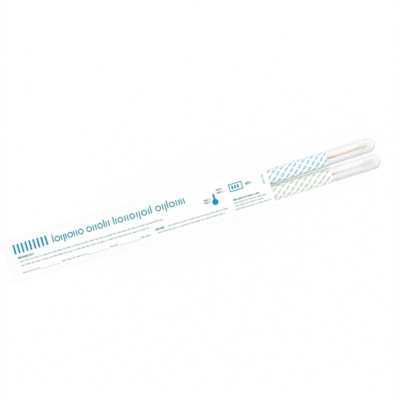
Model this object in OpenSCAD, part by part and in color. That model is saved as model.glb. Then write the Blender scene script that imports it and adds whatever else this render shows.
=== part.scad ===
// Twin swab transport tube pack, lying flat.
// Two clear round-bottomed tubes, each with a capped swab inside, stand out of a long peel wrapper.
// X runs along the pack towards the tubes' round ends, Y across it, and Z up from the table.

/* [Wrapper] */
// Length of the wrapper from its peel end to its mouth
wrapper_length = 236; // [210:1:280]
// Width of the sealed band beside the pocket
side_seal = 3.5; // [2:0.5:10]
// Thickness of the printed paper web
paper_thickness = 0.15; // [0.1:0.05:0.4]
// Thickness of the clear film
film_thickness = 0.2; // [0.1:0.05:0.4]
// Radius of the wrapper's corners
corner_radius = 2; // [0.5:0.5:8]
// Flat strip between the pocket's end and the start of the slope
shoulder_length = 4; // [1:1:12]
// Length over which the empty end comes down to the table
slope_length = 95; // [60:1:110]
// Free space round the labelled tubes in the pocket
pocket_clearance = 0.1; // [0.05:0.05:0.5]

/* [Tubes] */
// Outer diameter of a tube
tube_diameter = 13; // [10:0.1:16]
// Wall of a tube
tube_wall = 1; // [0.6:0.1:1.5]
// Length of a tube from its rim to its round end
tube_length = 150; // [130:1:170]
// Length that stands out of the wrapper's mouth
tube_reach = 96; // [80:1:110]
// How much further the tube with the green label stands out
green_lead = 0.9; // [0:0.1:4]
// Gap between the two tubes at the mouth
mouth_gap = 0.8; // [0.8:0.1:2.5]
// Gap between the two tubes at their rims
rim_gap = 0.1; // [0.1:0.1:0.6]
// Angle that the pair is turned by in the wrapper, in degrees
pair_turn = 1.1; // [0:0.1:1.5]
// Sideways place of the pair's middle at the mouth
pair_offset = -0.8; // [-2:0.1:2]

/* [Labels] */
// Length of a label that shows outside the wrapper
label_length = 53; // [40:1:60]
// Length of a label that is tucked into the pocket
label_tuck = 4; // [1:1:10]
// Thickness of a label
label_thickness = 0.1; // [0.05:0.05:0.3]
// Thin layer of glue between a tube and its label
label_glue = 0.05; // [0.02:0.01:0.1]
// Width of the bare strip between a label's two edges, underneath
label_slot = 2; // [1:0.5:6]

/* [Label marks] */
// Length of one dash
dash_length = 4.4; // [3:0.1:6]
// Thickness of one dash
dash_width = 1.7; // [0.8:0.05:2]
// Gap between dashes of one slanted row
dash_gap = 1.3; // [0.8:0.1:3]
// Distance along the tube between slanted rows of the blue label
blue_pitch = 6.5; // [5:0.1:9]
// Distance along the tube between slanted rows of the green label
green_pitch = 6.6; // [5:0.1:9]
// Slant of the blue label's rows, in degrees
blue_slant = 41; // [35:1:60]
// Slant of the green label's rows, in degrees
green_slant = 40; // [35:1:60]
// Distance from the mouth to the middle of the blue label's first row
blue_start = 1.3; // [0:0.1:6]
// Distance from the mouth to the middle of the green label's first row
green_start = 6; // [0:0.1:6]

/* [Caps] */
// Length of a cap's grip outside the tube
grip_length = 28; // [20:1:36]
// Length of a cap's plug inside the tube
plug_length = 12; // [8:1:18]
// Clearance between a plug and the tube's bore
plug_clearance = 0.05; // [0.03:0.01:0.2]
// Clearance between the two grips at their far ends
grip_gap = 0.3; // [0.2:0.1:1]
// Number of finger grooves round a grip
groove_count = 18; // [8:1:24]
// Radius of one finger groove
groove_radius = 0.5; // [0.3:0.1:0.8]
// Depth of the socket that holds the stick, from the plug's end
socket_depth = 16; // [10:1:30]

/* [Swabs] */
// Diameter of a stick
stick_diameter = 2; // [1.6:0.1:3]
// Clearance round a stick in its socket and its bud
stick_clearance = 0.05; // [0.03:0.01:0.1]
// Diameter of a fibre bud
bud_diameter = 7.2; // [5:0.1:7.6]
// Length of a fibre bud
bud_length = 13.4; // [8:0.1:16]
// Length of bud beyond the stick's end
bud_nose = 3.7; // [2:0.1:5]
// Distance from the bud's nose to the outside of the tube's round end
bud_standoff = 3.6; // [2:0.1:8]

/* [Print] */
// Distance from the wrapper's peel end to the start of the print
print_margin = 10; // [6:0.5:10]
// Size of one unit of the printed layout
print_unit = 1; // [0.7:0.05:1]
// Thickness of an ink field
ink_thickness = 0.05; // [0.03:0.01:0.1]
// Thin gap that keeps ink off the surface under it
ink_gap = 0.03; // [0.02:0.01:0.05]

/* [Hidden] */
$fn = 96;
small_fn = 24;
ring_fn = 40;
// Overshoot of a cutting solid past the face that it cuts
cut = 1;

// Radii of a tube, its label and the pocket round it
tube_radius = tube_diameter / 2;
bore_radius = tube_radius - tube_wall;
label_inside = tube_radius + label_glue;
label_radius = label_inside + label_thickness;
dash_radius = label_radius + ink_gap;
pocket_radius = dash_radius + ink_thickness + pocket_clearance;
pocket_outside = pocket_radius + film_thickness;

// Heights: the tubes' axes, and the plane where film and paper are sealed together
axis_z = pocket_outside;
seal_z = axis_z + pocket_radius;

// The pair of tubes: rims close together, round ends spread apart
inside_length = tube_length - tube_reach;
mouth_pitch = tube_diameter + mouth_gap;
splay = 2 * asin((mouth_gap - rim_gap) / 2 / inside_length);
grip_pitch = tube_diameter + rim_gap - 2 * grip_length * sin(splay / 2);
grip_radius = (grip_pitch - grip_gap) / 2;
BLUE = 1;
GREEN = -1;
function tube_angle(side) = pair_turn + side * splay / 2;
function tube_y(side) = pair_offset + side * mouth_pitch / 2;
function lead(side) = side == GREEN ? green_lead : 0;

// The wrapper's outline and the pack's place: the origin is under the middle of the whole pack
pocket_length = inside_length + grip_length;
lane_reach = [
    for (side = [BLUE, GREEN], at = [0, pocket_length]) abs(tube_y(side) - at * sin(tube_angle(side)))
];
wrapper_width = 2 * (max(lane_reach) + pocket_outside + side_seal);
tube_ends = [
    for (side = [BLUE, GREEN])
        (tube_reach + lead(side) - tube_radius) * cos(tube_angle(side)) + tube_radius
];
mouth_x = (wrapper_length - max(tube_ends)) / 2;
peel_x = mouth_x - wrapper_length;

// The pocket ends in a bowl behind the caps, and its ridge is so low that the lanes stay apart below it
ridge_drop = sqrt(pow(pocket_outside, 2) - pow(grip_pitch / 2 - film_thickness, 2)) - film_thickness;
slope_end_x = mouth_x - pocket_length - pocket_outside - shoulder_length;
slope_steps = 40;

// Height of the sealed plane along the pack: level over the pocket, then a smooth slope down to the table
function slope_share(x) = min(max((slope_end_x - x) / slope_length, 0), 1);
function sheet_z(x) = film_thickness + (seal_z - film_thickness) * (1 + cos(180 * slope_share(x))) / 2;
function sheet_slope(x) =
    (seal_z - film_thickness) / 2 * sin(180 * slope_share(x)) * PI / slope_length;
sheet_stations = [
    peel_x,
    for (i = [slope_steps:-1:0]) slope_end_x - slope_length * i / slope_steps,
    mouth_x,
];

// The printed layout, in units of print_unit: X from the start of the print, Y from the wrapper's middle.
// The title is strokes of plain shapes. A word is [start, length, list of stroke kinds].
title_base = 5.2;
tall = 7.2;
low = 5.1;
below = 2;
stroke_width = 1.05;
pair_step = 2.3;
TALL_STROKE = 0;
LOW_STROKE = 1;
LOW_PAIR = 2;
RING = 3;
HANGING_PAIR = 4;
stroke_advance = [1.9, 1.9, 4.2, 5.9, 4.2];
title_words = [
    [33.3, 28.7, [TALL_STROKE, RING, HANGING_PAIR, LOW_STROKE, RING, LOW_PAIR, RING]],
    [63.8, 21.7, [RING, LOW_PAIR, RING, TALL_STROKE, LOW_PAIR]],
    [88, 35.5, [
        TALL_STROKE, LOW_STROKE, RING, LOW_PAIR, RING, HANGING_PAIR, RING, LOW_STROKE, TALL_STROKE
    ]],
    [125.8, 26.9, [RING, HANGING_PAIR, TALL_STROKE, RING, LOW_PAIR, LOW_PAIR]],
];
bold_start = -1.2;
bold_base = 4.7;
bold_height = 8.7;
bold_width = 1.65;
bold_step = 3.56;
bold_count = 9;
fine_height = 1.3;
// Lengths of the marks that stand for words in a fine line, in turn, and the space between them
fine_marks = [3.2, 4.6, 2.4, 3.8, 1.8, 4.2, 2.8];
fine_space = 0.9;
// A fine line is [start, base, length, height]
fine_lines = [
    [0.5, 0.15, 14, 2.15],
    [1.2, -2.9, 129.4, fine_height],
    [1.2, -6.5, 114.3, fine_height],
    [1.2, -12.6, 14.6, fine_height],
    [36.3, -12.6, 22, fine_height],
    [79.2, -12.6, 6.8, fine_height],
    [107, -12.6, 9.8, fine_height],
    [121.2, -10, 7.3, 2],
    [132, -9.6, 55.2, fine_height],
    [122.4, -12.8, 59.6, fine_height],
    [167.5, -0.3, 5.3, 1.6],
    [167.7, 1.9, 5.3, 1.6],
    [180.3, 5.2, 5.3, 1.7],
    [180.1, 7.8, 5.3, 1.7],
    [205.7, 5.6, 5.3, 2.5],
    [191.8, -4.6, 23, 1.6],
    [192, -7.3, 28.2, fine_height],
    [192, -9.9, 25.2, fine_height],
    [191.8, -12.8, 31.2, fine_height],
];
// A blank rule to write on is [start, length]
rules = [[16.6, 18], [58.6, 19.7], [87.8, 18.8]];
rule_base = -13.3;
rule_height = 0.3;
rule_step = 4;
rule_mark = 3.8;

// ---------- placing ----------

// Turns a tube's own frame into place: its axis is X, and its zero is where it leaves the mouth
module on_tube(side) {
    translate([mouth_x, tube_y(side), axis_z])
        rotate([0, 0, tube_angle(side)])
            children();
}

// Places a tube and what it holds, which stand out of the mouth by the tube's own lead
module in_tube(side) {
    on_tube(side) translate([lead(side), 0, 0]) children();
}

// Turns a shape drawn along Z so that it runs along X from a start
module along_x(start) {
    translate([start, 0, 0]) rotate([0, 90, 0]) children();
}

// ---------- wrapper ----------

// The wrapper seen from above, with round corners at the peel end and a straight mouth
module wrapper_outline() {
    half = wrapper_width / 2;
    translate([peel_x + corner_radius, -half])
        square([wrapper_length - corner_radius, wrapper_width]);
    translate([peel_x, corner_radius - half])
        square([2 * corner_radius, wrapper_width - 2 * corner_radius]);
    for (y = [corner_radius - half, half - corner_radius])
        translate([peel_x + corner_radius, y]) circle(r = corner_radius, $fn = small_fn);
}

// Keeps what lies inside the wrapper's outline
module trimmed() {
    intersection() {
        children();
        translate([0, 0, -cut]) linear_extrude(seal_z + 2 * cut) wrapper_outline();
    }
}

// A sheet that follows the sealed plane, between two heights measured from it
module sheet(low, high) {
    points = concat(
        [for (x = sheet_stations) [x, sheet_z(x) + low]],
        [for (i = [len(sheet_stations) - 1:-1:0]) [sheet_stations[i], sheet_z(sheet_stations[i]) + high]]
    );
    translate([0, wrapper_width / 2, 0])
        rotate([90, 0, 0])
            linear_extrude(wrapper_width) polygon(points);
}

// Section of one lane of the pocket: half round below, with upright walls up to the sealed plane
module lane_section(radius, rise) {
    circle(r = radius);
    translate([-radius, 0]) square([2 * radius, rise]);
}

// One tube's lane in the pocket, with a bowl-shaped far end
module pocket_lane(side, radius, rise) {
    on_tube(side) translate([-pocket_length, 0, 0]) {
        rotate([90, 0, 90])
            linear_extrude(pocket_length + cut)
                lane_section(radius, rise);
        rotate([0, 0, 90])
            rotate_extrude(angle = 180)
                intersection() {
                    lane_section(radius, rise);
                    translate([0, -radius]) square([radius, radius + rise]);
                }
    }
}

// The room between the two lanes, above the ridge that the film forms between the tubes
module pocket_middle(run, drop, rise) {
    near = [for (side = [GREEN, BLUE]) [mouth_x + cut, tube_y(side) + cut * tan(tube_angle(side))]];
    far = [
        for (side = [BLUE, GREEN])
            [mouth_x - run * cos(tube_angle(side)), tube_y(side) - run * sin(tube_angle(side))]
    ];
    translate([0, 0, axis_z - drop])
        linear_extrude(drop + rise)
            polygon(concat(near, far));
}

// The whole pocket, grown by a wall on every side but the top
module pocket(wall, rise) {
    for (side = [BLUE, GREEN]) pocket_lane(side, pocket_radius + wall, rise);
    pocket_middle(pocket_length + wall, ridge_drop + wall, rise);
}

module printed_web() {
    color("white") trimmed() sheet(0, paper_thickness);
}

module clear_film() {
    color([0.85, 0.92, 0.95]) difference() {
        trimmed() {
            sheet(-film_thickness, 0);
            pocket(film_thickness, pocket_radius);
        }
        pocket(0, pocket_radius + cut);
    }
}

// ---------- tubes ----------

module tube_solid(radius, far_end, start) {
    along_x(start) cylinder(r = radius, h = far_end - radius - start);
    translate([far_end - radius, 0, 0]) sphere(r = radius);
}

module swab_tube(side) {
    in_tube(side) difference() {
        tube_solid(tube_radius, tube_reach, -inside_length);
        tube_solid(bore_radius, tube_reach - tube_wall, -inside_length - cut);
    }
}

module blue_tube() {
    color([0.9, 0.93, 0.95]) swab_tube(BLUE);
}

module green_tube() {
    color([0.9, 0.93, 0.95]) swab_tube(GREEN);
}

// ---------- labels ----------

module label(side) {
    on_tube(side) difference() {
        along_x(-label_tuck) cylinder(r = label_radius, h = label_tuck + label_length);
        along_x(-label_tuck - cut) cylinder(r = label_inside, h = label_tuck + label_length + 2 * cut);
        translate([-label_tuck - cut, -label_slot / 2, -label_radius - cut])
            cube([label_tuck + label_length + 2 * cut, label_slot, label_radius]);
    }
}

module blue_label() {
    color("white") label(BLUE);
}

module green_label() {
    color("white") label(GREEN);
}

// Bare edge of a label, where its printing stops
print_edge = 0.3;

// Slanted rows of dashes on a label. A dash is [distance along the tube, distance round it, row, step].
function dash_field(pitch, slant, start) = [
    for (row = [-8:1:12], step = [-4:1:4])
        let (
            run = (step + 0.3 * (row % 3)) * (dash_length + dash_gap),
            x = start + row * pitch + run * cos(slant),
            around = run * sin(slant),
            half = dash_length / 2
        )
        if (x + half * cos(slant) > dash_width && x - half * cos(slant) < label_length - dash_width
            && abs(around) + half * sin(slant) < PI * label_radius - label_slot)
            [x, around, row, step]
];
function is_teal(dash) = (dash[2] + 2 * dash[3]) % 3 == 0;

// The dashes as plates bent round the label
module dashes(side, field, slant) {
    on_tube(side) intersection() {
        difference() {
            along_x(print_edge)
                cylinder(r = dash_radius + ink_thickness, h = label_length - 2 * print_edge);
            along_x(-cut) cylinder(r = dash_radius, h = label_length + 2 * cut);
        }
        for (dash = field)
            rotate([-dash[1] / dash_radius * 180 / PI, 0, 0])
                translate([dash[0], 0, dash_radius])
                    rotate([0, 0, slant])
                        cube([dash_length, dash_width, tube_wall], center = true);
    }
}

module blue_dashes() {
    field = dash_field(blue_pitch, blue_slant, blue_start);
    color([0.25, 0.6, 0.82]) dashes(BLUE, [for (dash = field) if (!is_teal(dash)) dash], blue_slant);
}

module teal_dashes() {
    field = dash_field(blue_pitch, blue_slant, blue_start);
    color([0.3, 0.68, 0.7]) dashes(BLUE, [for (dash = field) if (is_teal(dash)) dash], blue_slant);
}

module olive_dashes() {
    color([0.66, 0.73, 0.45]) dashes(GREEN, dash_field(green_pitch, green_slant, green_start), green_slant);
}

// ---------- caps ----------

// A plug cap, turned from one outline: a plug with two sealing beads, and a grip with a domed edge
module cap(side) {
    plug_radius = bore_radius - plug_clearance;
    neck_radius = plug_radius - 0.25;
    bead = 1;
    rim_clearance = 0.1;
    edge = 1;
    outline = [
        [0, -plug_length],
        [neck_radius - edge / 2, -plug_length],
        [neck_radius, edge / 2 - plug_length],
        [neck_radius, 3 * bead - plug_length],
        [plug_radius, 4 * bead - plug_length],
        [neck_radius, 5 * bead - plug_length],
        [neck_radius, -3 * bead],
        [plug_radius, -2 * bead],
        [neck_radius, -bead],
        [neck_radius, rim_clearance],
        [grip_radius, rim_clearance],
        [grip_radius, grip_length - edge],
        [grip_radius - edge * (1 - cos(45)), grip_length - edge * (1 - sin(45))],
        [grip_radius - edge, grip_length],
        [0, grip_length],
    ];
    groove_start = 5;
    in_tube(side) translate([-inside_length, 0, 0]) rotate([0, -90, 0]) difference() {
        rotate_extrude() polygon(outline);
        translate([0, 0, -plug_length - cut])
            cylinder(r = stick_diameter / 2 + stick_clearance, h = socket_depth + cut, $fn = small_fn);
        for (i = [0:groove_count - 1])
            rotate([0, 0, 360 * i / groove_count])
                translate([grip_radius + groove_radius / 4, 0, groove_start])
                    cylinder(r = groove_radius, h = grip_length, $fn = small_fn);
    }
}

module blue_cap() {
    color("white") cap(BLUE);
}

module green_cap() {
    color("white") cap(GREEN);
}

// ---------- swabs ----------

bud_end = tube_reach - bud_standoff;
bud_start = bud_end - bud_length;
stick_end = bud_end - bud_nose;
stick_start = plug_length - socket_depth - inside_length + stick_clearance;

module stick(side) {
    in_tube(side) along_x(stick_start)
        cylinder(d = stick_diameter, h = stick_end - stick_start, $fn = 32);
}

// A wound bud: a blunt shoulder at the stick and a rounder nose
module bud(side) {
    steps = 20;
    blunt = 0.6;
    wound = [for (i = [0:steps]) [
        bud_diameter / 2 * pow(sin(180 * i / steps), blunt),
        bud_length * (1 - cos(180 * i / steps)) / 2
    ]];
    in_tube(side) difference() {
        along_x(bud_start) rotate_extrude() polygon(wound);
        along_x(bud_start - cut)
            cylinder(
                r = stick_diameter / 2 + stick_clearance,
                h = stick_end + stick_clearance - bud_start + cut,
                $fn = small_fn
            );
    }
}

module wood_stick() {
    color([0.78, 0.55, 0.33]) stick(BLUE);
}

module plastic_stick() {
    color([0.9, 0.9, 0.88]) stick(GREEN);
}

module rayon_bud() {
    color("white") bud(BLUE);
}

module cotton_bud() {
    color("white") bud(GREEN);
}

// ---------- print ----------

// Lays a flat shape, drawn round its own middle, on the paper's slope at a place in the layout
module on_paper(x, y) {
    place = peel_x + print_margin + x * print_unit;
    translate([place, y * print_unit, sheet_z(place) + paper_thickness + ink_gap])
        rotate([0, -atan(sheet_slope(place)), 0])
            linear_extrude(ink_thickness) scale(print_unit) children();
}

// A rectangular mark, from its left and bottom edges
module mark(x, y, width, height) {
    on_paper(x + width / 2, y) translate([-width / 2, 0]) square([width, height]);
}

// An upright stroke with round ends
module stroke(x, y, width, height) {
    on_paper(x + width / 2, y) {
        translate([-width / 2, width / 2]) square([width, height - width]);
        for (end = [width / 2, height - width / 2])
            translate([0, end]) circle(d = width, $fn = small_fn);
    }
}

function fine_mark(i) = fine_marks[i % len(fine_marks)];

// A row of short marks that stands for a line of fine print
module fine_line(x, y, run, height) {
    starts = [
        for (i = 0, at = 0; at < run - 1; at = at + fine_mark(i) + fine_space, i = i + 1)
            [at, fine_mark(i)]
    ];
    for (word = starts)
        mark(x + word[0], y, min(word[1], run - word[0]), height);
}

// A thin ruled line, in short lengths so that it follows the paper's slope
module rule(x, run) {
    for (at = [0:rule_step:run - 1])
        mark(x + at, rule_base, min(rule_mark, run - at), rule_height);
}

// One kind of title stroke, whose first upright stands at x
module title_stroke(kind, x) {
    if (kind == TALL_STROKE)
        stroke(x, title_base, stroke_width, tall);
    if (kind == LOW_STROKE || kind == LOW_PAIR || kind == HANGING_PAIR)
        stroke(x, title_base, stroke_width, low);
    if (kind == LOW_PAIR)
        stroke(x + pair_step, title_base, stroke_width, low);
    if (kind == HANGING_PAIR)
        stroke(x + pair_step, title_base - below, stroke_width, low + below);
    if (kind == RING)
        on_paper(x + low / 2, title_base + low / 2) difference() {
            circle(d = low, $fn = ring_fn);
            circle(d = low - 2 * stroke_width, $fn = ring_fn);
        }
}

// Share of a word's length that lies before one of its strokes
function advance(kinds, count) =
    count == 0 ? 0 : stroke_advance[kinds[count - 1]] + advance(kinds, count - 1);

module title_print() {
    color([0.25, 0.62, 0.72]) {
        for (word = title_words, i = [0:len(word[2]) - 1])
            title_stroke(
                word[2][i],
                word[0] + word[1] * advance(word[2], i) / advance(word[2], len(word[2]))
            );
        boxed_marks();
    }
}

// A framed field with three bars
module boxed_marks() {
    width = 11.8;
    height = 6.8;
    line = 0.8;
    bar_width = 1.6;
    bar_height = 3;
    bar_step = 2.5;
    bar_shift = -0.4;
    on_paper(197.1, 6.8) {
        difference() {
            square([width, height], center = true);
            square([width - 2 * line, height - 2 * line], center = true);
        }
        for (i = [-1:1])
            translate([bar_shift + i * bar_step, 0]) square([bar_width, bar_height], center = true);
    }
}

// The bold opening word and the storage symbol
module bold_print() {
    color([0.1, 0.5, 0.72]) {
        for (i = [0:bold_count - 1])
            stroke(bold_start + i * bold_step, bold_base, bold_width, bold_height);
        bulb();
    }
}

// The storage symbol: a bulb with a stem, as on a thermometer
module bulb() {
    bulb_radius = 2.7;
    stem_width = 1.7;
    stem_length = 6.3;
    on_paper(176.8, -0.8) {
        circle(r = bulb_radius);
        translate([-stem_width / 2, 0]) square([stem_width, stem_length]);
        translate([0, stem_length]) circle(d = stem_width, $fn = small_fn);
    }
}

module fine_print() {
    color([0.42, 0.62, 0.66]) {
        for (line = fine_lines) fine_line(line[0], line[1], line[2], line[3]);
        for (blank = rules) rule(blank[0], blank[1]);
        mark(220.7, 2.2, 1.3, 4.4);
        mark(220.7, 7.5, 1.3, 2.9);
    }
}

printed_web();
clear_film();
blue_tube();
green_tube();
blue_label();
green_label();
blue_cap();
green_cap();
wood_stick();
plastic_stick();
rayon_bud();
cotton_bud();
bold_print();
title_print();
fine_print();
blue_dashes();
teal_dashes();
olive_dashes();
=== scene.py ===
# %% [markdown]
# # Twin swab transport pack
# Two clear round-bottomed tubes, each with a labelled sleeve, a cap and a swab, stand out of a long white
# peel wrapper. The construction comes from the frame. This script dresses it: every piece gets a finer
# surface and a finish of its own, and each step says why it is made the way it is.

# %% Load the frame
import math

import bmesh
import bpy
import numpy as np
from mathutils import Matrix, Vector


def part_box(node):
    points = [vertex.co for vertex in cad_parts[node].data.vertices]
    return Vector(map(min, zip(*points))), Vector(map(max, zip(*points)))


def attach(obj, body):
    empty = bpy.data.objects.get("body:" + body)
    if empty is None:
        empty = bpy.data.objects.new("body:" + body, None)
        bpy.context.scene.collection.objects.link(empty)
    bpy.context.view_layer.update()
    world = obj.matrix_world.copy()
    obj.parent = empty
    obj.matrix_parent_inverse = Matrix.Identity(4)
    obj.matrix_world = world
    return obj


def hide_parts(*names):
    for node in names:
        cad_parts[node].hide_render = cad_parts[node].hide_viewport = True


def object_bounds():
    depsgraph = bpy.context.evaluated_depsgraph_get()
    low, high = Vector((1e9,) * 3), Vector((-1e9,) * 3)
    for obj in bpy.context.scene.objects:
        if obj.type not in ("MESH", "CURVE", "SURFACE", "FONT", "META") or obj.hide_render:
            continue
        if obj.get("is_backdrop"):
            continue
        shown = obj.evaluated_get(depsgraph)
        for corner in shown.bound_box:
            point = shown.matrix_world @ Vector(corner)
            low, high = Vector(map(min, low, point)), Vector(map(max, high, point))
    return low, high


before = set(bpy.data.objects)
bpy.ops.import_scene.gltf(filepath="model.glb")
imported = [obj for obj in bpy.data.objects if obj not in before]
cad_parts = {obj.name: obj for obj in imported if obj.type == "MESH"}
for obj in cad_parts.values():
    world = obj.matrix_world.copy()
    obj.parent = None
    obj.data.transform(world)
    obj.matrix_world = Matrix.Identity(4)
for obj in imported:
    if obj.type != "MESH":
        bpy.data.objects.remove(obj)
cad_low, cad_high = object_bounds()
MM = 0.001
BODY = "root"
print("pack in mm:", [round(side / MM, 1) for side in cad_high - cad_low])

# %% [markdown]
# ## Camera
# The pack lies on a table and is seen straight from above, turned so that the tubes' ends rise to the
# right. A long lens keeps the tubes' sides nearly parallel. The view's width at the pack is a share of the
# pack's own length, and the lens is aimed from the wrapper's mouth, so the framing follows the frame.

# %% Camera
pack_length = cad_high.x - cad_low.x
VIEW_TURN = math.radians(-16.6)
VIEW_SHARE = 1.0298
LENS = 200.0
SENSOR = 36.0
AIM_BEHIND_MOUTH, AIM_SIDE = 61.3, 4.5
AIM = Vector((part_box("printed_web")[1].x - AIM_BEHIND_MOUTH * MM, AIM_SIDE * MM, cad_high.z / 2))

camera_data = bpy.data.cameras.new("camera")
camera_data.lens = LENS
camera_data.sensor_width = SENSOR
camera = bpy.data.objects.new("camera", camera_data)
camera.location = AIM + Vector((0, 0, pack_length * VIEW_SHARE * LENS / SENSOR))
camera.rotation_euler = (0, 0, VIEW_TURN)
bpy.context.scene.collection.objects.link(camera)
bpy.context.scene.camera = camera
print("camera height in mm:", round(camera.location.z / MM))

# %% [markdown]
# ## Node graphs as Python expressions
# Shader trees and geometry trees are both graphs of sockets. One small class wraps a socket, so that `1 -
# mask` adds the Math node that it means. Every other node comes from one method, which takes the node's
# type, its settings, and the values or links of its sockets.


# %% Wires
class Wire:
    """One output socket that can be used in sums."""

    def __init__(self, graph, socket):
        self.graph = graph
        self.socket = socket

    def math(self, operation, *others):
        return self.graph.add("ShaderNodeMath", {"operation": operation}, [self, *others])

    def __add__(self, other):
        return self.math("ADD", other)

    def __sub__(self, other):
        return self.math("SUBTRACT", other)

    def __rsub__(self, other):
        return self.graph.add("ShaderNodeMath", {"operation": "SUBTRACT"}, [other, self])

    def __mul__(self, other):
        return self.math("MULTIPLY", other)

    def __truediv__(self, other):
        return self.math("DIVIDE", other)

    __radd__ = __add__
    __rmul__ = __mul__


print("wire tools ready")


# %% Graphs
class Graph:
    """A node tree with one method that adds any node."""

    def __init__(self, tree):
        self.tree = tree
        tree.nodes.clear()

    def add(self, kind, settings=None, values=(), out=0):
        node = self.tree.nodes.new(kind)
        for name, value in (settings or {}).items():
            if name == "stops":
                self.set_stops(node.color_ramp, value)
            else:
                setattr(node, name, value)
        pairs = values.items() if isinstance(values, dict) else enumerate(values)
        for key, value in pairs:
            if isinstance(value, Wire):
                self.tree.links.new(value.socket, node.inputs[key])
            else:
                node.inputs[key].default_value = value
        return Wire(self, node.outputs[out]) if len(node.outputs) else node

    def set_stops(self, ramp, stops):
        while len(ramp.elements) < len(stops):
            ramp.elements.new(1.0)
        for element, (place, colour) in zip(ramp.elements, stops):
            element.position = place
            element.color = (*colour, 1.0)

    def mix(self, share, first, second):
        """A colour between two colours."""
        return self.add("ShaderNodeMix", {"data_type": "RGBA"}, {0: share, 6: first, 7: second}, out=2)

    def noise(self, place, scale, detail=3.0, roughness=0.5):
        """Soft random variation from 0 to 1, with scale in waves per metre."""
        return self.add(
            "ShaderNodeTexNoise", None,
            {"Vector": place, "Scale": scale, "Detail": detail, "Roughness": roughness},
        )

    def band(self, value, low, high):
        """0 below low, 1 above high and smooth between."""
        return self.add(
            "ShaderNodeMapRange", {"interpolation_type": "SMOOTHSTEP"},
            {"Value": value, "From Min": low, "From Max": high},
        )


print("graph tools ready")

# %% [markdown]
# ## Where things are
# Each tube is a straight capsule that lies at a small angle to the wrapper. Its angle, rim and length
# follow from the corners of its box in the frame, so nothing here is typed in by hand. Work is done in
# millimetres, and the last helper that makes a mesh turns them into metres.


# %% Tube axes
class Axis:
    """A tube's own line: distance along it from the rim, and two distances across it."""

    def __init__(self, node):
        low, high = (np.array(corner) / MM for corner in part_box(node))
        self.radius = (high[2] - low[2]) / 2
        rise = high[1] - low[1] - 2 * self.radius
        run = high[0] - low[0] - self.radius
        self.angle = math.atan2(rise, run)
        self.along = np.array([math.cos(self.angle), math.sin(self.angle), 0.0])
        self.across = np.array([-math.sin(self.angle), math.cos(self.angle), 0.0])
        self.length = (run - self.radius * math.sin(self.angle)) / math.cos(self.angle) + self.radius
        centre = high - self.radius
        self.rim = centre - self.along * (self.length - self.radius)

    def place(self, distance, side, up):
        """Points in the pack from distances in the tube's own frame."""
        flat = np.multiply.outer(distance, self.along) + np.multiply.outer(side, self.across)
        return self.rim + flat + np.multiply.outer(up, [0.0, 0.0, 1.0])

    def span(self, node, radius):
        """Where a round piece of some radius starts and ends along the tube."""
        low, high = (corner.x / MM - self.rim[0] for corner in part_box(node))
        lean = radius * math.sin(self.angle)
        return (low + lean) / math.cos(self.angle), (high - lean) / math.cos(self.angle)

    def side_at(self, x):
        """The axis's sideways place at a place along the pack."""
        return self.rim[1] + (x - self.rim[0]) * math.tan(self.angle)


BLUE, GREEN = Axis("blue_tube"), Axis("green_tube")
for tube_name, axis in (("blue", BLUE), ("green", GREEN)):
    degrees = round(math.degrees(axis.angle), 3)
    print(tube_name, "tube: length", round(axis.length, 2), "turned by", degrees, "degrees")

# %% [markdown]
# The wrapper is level over the tubes. Behind their caps it comes down to the table in one smooth slope, and
# its empty end lies flat. The paper and everything printed on it use the same height rule, so that ink
# never floats off the sheet or sinks into it. The sizes typed in here, such as the seal band and the length
# of the slope, are those of the part's source. The slack is half of the room between a tube and its pocket,
# which glue, label, ink and a little air fill.

# %% Wrapper heights
web_low, web_high = (np.array(corner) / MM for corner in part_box("printed_web"))
PEEL_X, MOUTH_X = web_low[0], web_high[0]
HALF_WIDTH = web_high[1]
FILM_THICKNESS = web_low[2]
PAPER_THICKNESS = 0.15
SEALED_TOP = web_high[2] - PAPER_THICKNESS
SEAL_BAND = 3.5
POCKET_SLACK = 0.165
SHOULDER_LENGTH = 4
POCKET_RADIUS = (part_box("clear_film")[1].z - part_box("blue_tube")[0].z) / MM / 2 + POCKET_SLACK
GRIP_LENGTH = 28.0
pocket_length = (MOUTH_X - BLUE.rim[0]) / math.cos(BLUE.angle) + GRIP_LENGTH
POCKET_END_X = MOUTH_X - pocket_length
SLOPE_TOP_X = POCKET_END_X - POCKET_RADIUS - FILM_THICKNESS - SHOULDER_LENGTH
SLOPE_LENGTH = 95.0
HALF_PITCH = (BLUE.side_at(MOUTH_X) - GREEN.side_at(MOUTH_X)) / 2


def smooth(value, low, high):
    """0 below low, 1 above high and an S-curve between."""
    share = np.clip((value - low) / (high - low), 0, 1)
    return share * share * (3 - 2 * share)


def sealed_height(x):
    """Height of the plane where film and paper meet."""
    share = np.clip((SLOPE_TOP_X - x) / SLOPE_LENGTH, 0, 1)
    return FILM_THICKNESS + (SEALED_TOP - FILM_THICKNESS) * (1 + np.cos(np.pi * share)) / 2


sealed_ends = [round(float(sealed_height(x)), 2) for x in (PEEL_X, MOUTH_X)]
print("sealed plane from", sealed_ends[0], "to", sealed_ends[1])

# %% [markdown]
# ## How the sheets lie
# A flat sheet looks like a drawing. Real film and paper ripple where they are empty, and the paper sinks a
# little beside the tubes because only the tubes hold it up. Both are smooth functions of the place on the
# sheet. Most of it is tenths of a millimetre, and about one at the two peel corners and in the mouth, so
# the pack keeps its size.


# %% Ripples
RIPPLE_HEIGHT, RIPPLE_START, RIPPLE_FADE = 0.16, 12, 45
LONG_WAVE, LONG_LEAN = 9.5, 0.10
CROSS_WAVE, CROSS_DRIFT = 15, 37
SHORT_SHARE, SHORT_WAVE, SHORT_LEAN = 0.5, 4.9, 6
CURL_HEIGHT, CURL_LENGTH, CURL_FROM, CURL_POWER = 0.75, 26, 6, 1.5


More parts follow.
